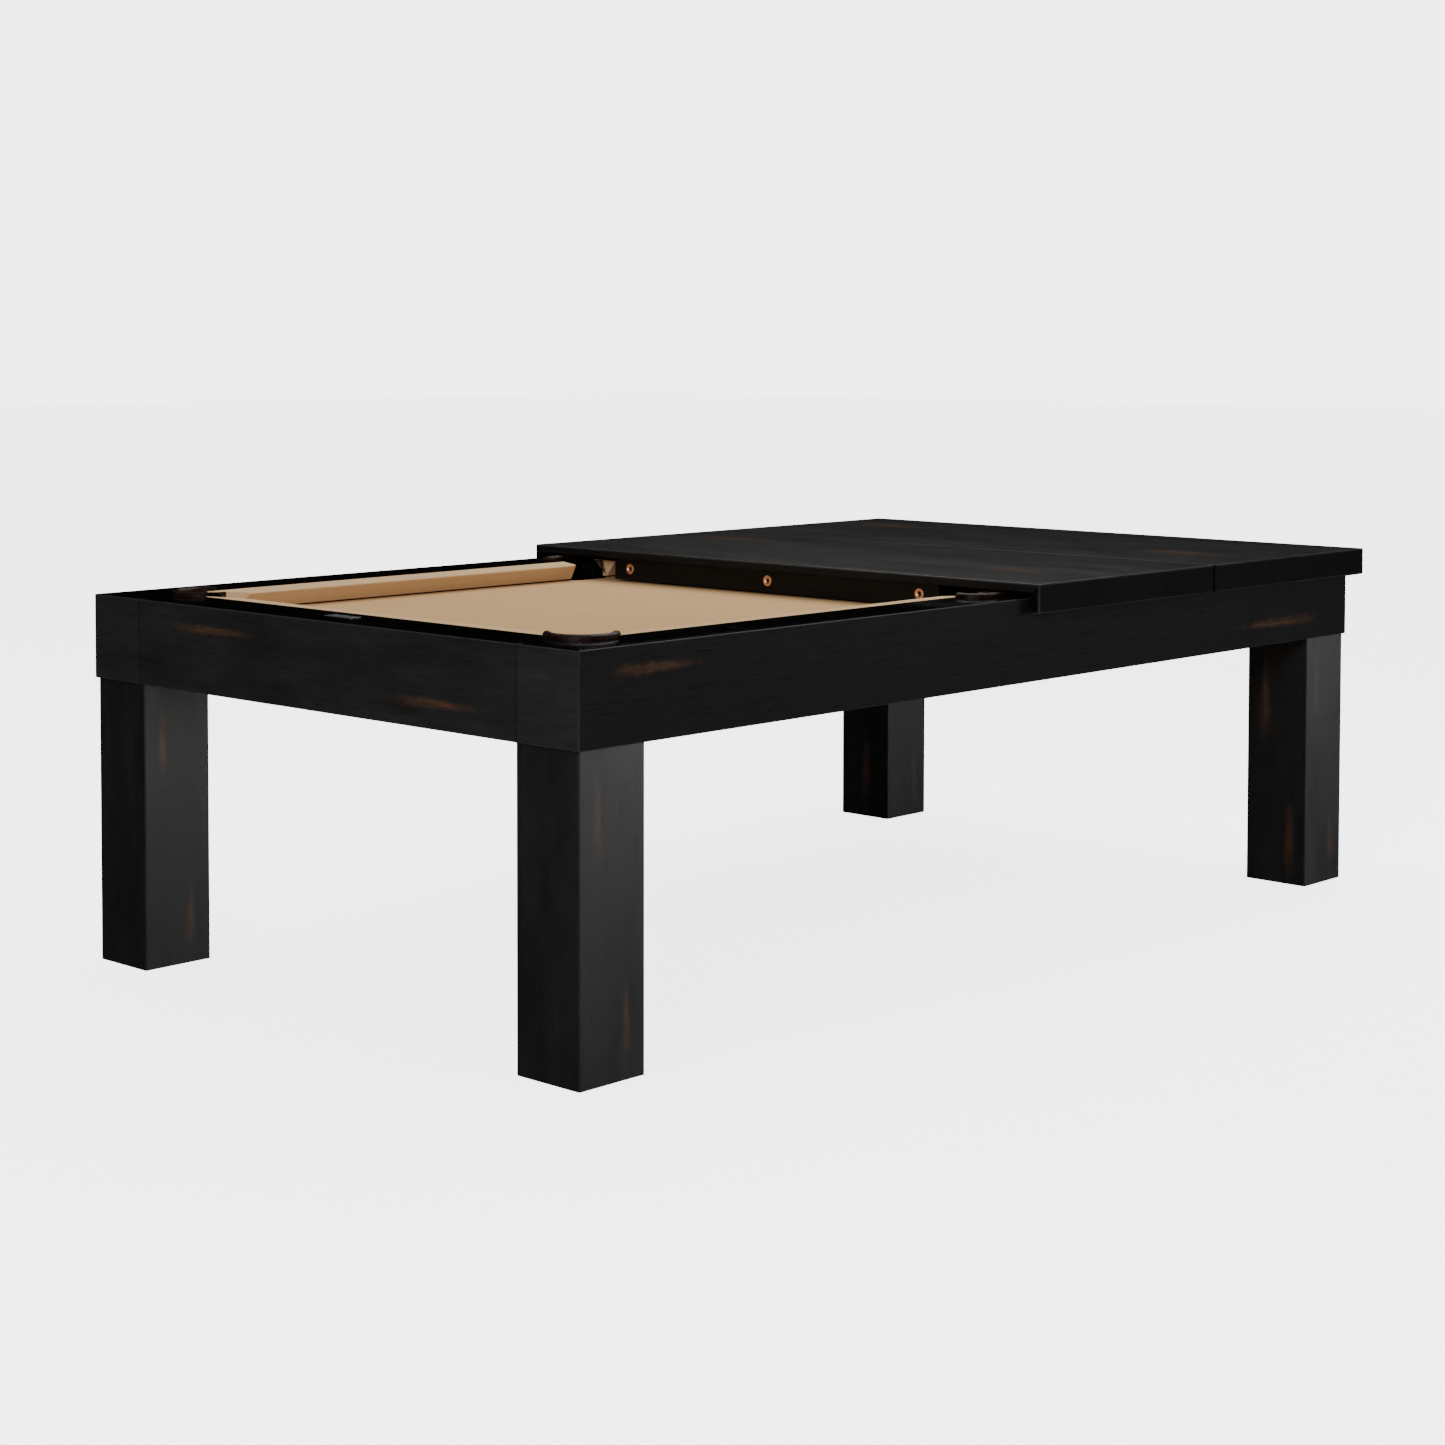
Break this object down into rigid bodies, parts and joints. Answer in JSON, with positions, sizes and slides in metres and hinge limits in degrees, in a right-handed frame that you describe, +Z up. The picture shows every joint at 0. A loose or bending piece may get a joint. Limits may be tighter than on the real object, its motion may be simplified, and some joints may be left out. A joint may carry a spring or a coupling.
{
  "type": "pocket table with a dining top",
  "caption": "Slate-bed pocket table on square legs, with cloth cushions, leather-trimmed pockets and lift-off dining leaves over one half.",
  "frame": {"origin": "on the floor under the middle of the whole outline, dining top's overhang included", "axes": "+X along the table towards the end that the dining leaves cover, +Y across it, +Z up"},
  "size_m": [2.63, 1.542, 0.813],
  "materials": {
    "dark_wood": "black stained wood, fine grain, satin, rubbed through to brown in streaks",
    "rail_wood": "black lacquered wood, semi-gloss",
    "board_wood": "black painted wood, satin",
    "bare_wood": "unfinished softwood and plywood",
    "nylon": "off-white nylon",
    "zinc_steel": "zinc plated",
    "slate": "honed grey slate",
    "tan_cloth": "worsted wool billiard cloth, tan",
    "black_inlay": "black inlay, flush",
    "brushed_plate": "plain brushed plate, dull",
    "brown_leather": "dark brown glossy leather",
    "copper_socket": "copper-toned metal",
    "pin_steel": "turned steel",
    "black_felt": "black felt over a hard spacer"
  },
  "bodies": {
    "table": {"leg_front_left": "dark_wood", "leg_front_right": "dark_wood", "leg_back_left": "dark_wood", "leg_back_right": "dark_wood", "leg_blocks": "bare_wood", "corner_plates": "bare_wood", "side_beams": "bare_wood", "cross_beams": "bare_wood", "centre_beams": "bare_wood", "leg_glides": "nylon", "leg_bolts": "zinc_steel", "rail_bolts": "zinc_steel", "slate_screws": "zinc_steel", "side_apron_front": "dark_wood", "side_apron_back": "dark_wood", "end_apron_left": "dark_wood", "end_apron_right": "dark_wood", "corner_return_front_left": "dark_wood", "corner_return_front_right": "dark_wood", "corner_return_back_left": "dark_wood", "corner_return_back_right": "dark_wood", "slate_left": "slate", "slate_middle": "slate", "slate_right": "slate", "bed_cloth": "tan_cloth", "rail_front_left": "rail_wood", "rail_front_right": "rail_wood", "rail_back_left": "rail_wood", "rail_back_right": "rail_wood", "rail_left": "rail_wood", "rail_right": "rail_wood", "cushion_front_left": "tan_cloth", "cushion_front_right": "tan_cloth", "cushion_back_left": "tan_cloth", "cushion_back_right": "tan_cloth", "cushion_left": "tan_cloth", "cushion_right": "tan_cloth", "rail_sights": "black_inlay", "blank_plate": "brushed_plate", "pocket_trim_front_left": "brown_leather", "pocket_trim_front_right": "brown_leather", "pocket_trim_back_left": "brown_leather", "pocket_trim_back_right": "brown_leather", "pocket_trim_front": "brown_leather", "pocket_trim_back": "brown_leather", "corner_liners_front": "brown_leather", "corner_liners_back": "brown_leather", "side_pocket_liners": "brown_leather"},
    "end_leaf": {"end_leaf_panel": "dark_wood", "end_leaf_side_skirts": "dark_wood", "end_leaf_end_skirt": "dark_wood", "end_leaf_board": "board_wood", "end_leaf_sockets": "copper_socket", "end_leaf_pads": "black_felt"},
    "middle_leaf": {"middle_leaf_panel": "dark_wood", "middle_leaf_skirts": "dark_wood", "middle_leaf_boards": "board_wood", "middle_leaf_sockets": "copper_socket", "middle_leaf_pins": "pin_steel", "middle_leaf_pads": "black_felt"}
  },
  "joints": [
    {"name": "end_leaf_lift", "type": "slide", "parent": "table", "child": "end_leaf", "axis": [0, 0, 1], "range_m": [0, 0.3]},
    {"name": "middle_leaf_pull", "type": "slide", "parent": "end_leaf", "child": "middle_leaf", "axis": [-1, 0, 0], "range_m": [0, 0.6]}
  ]
}
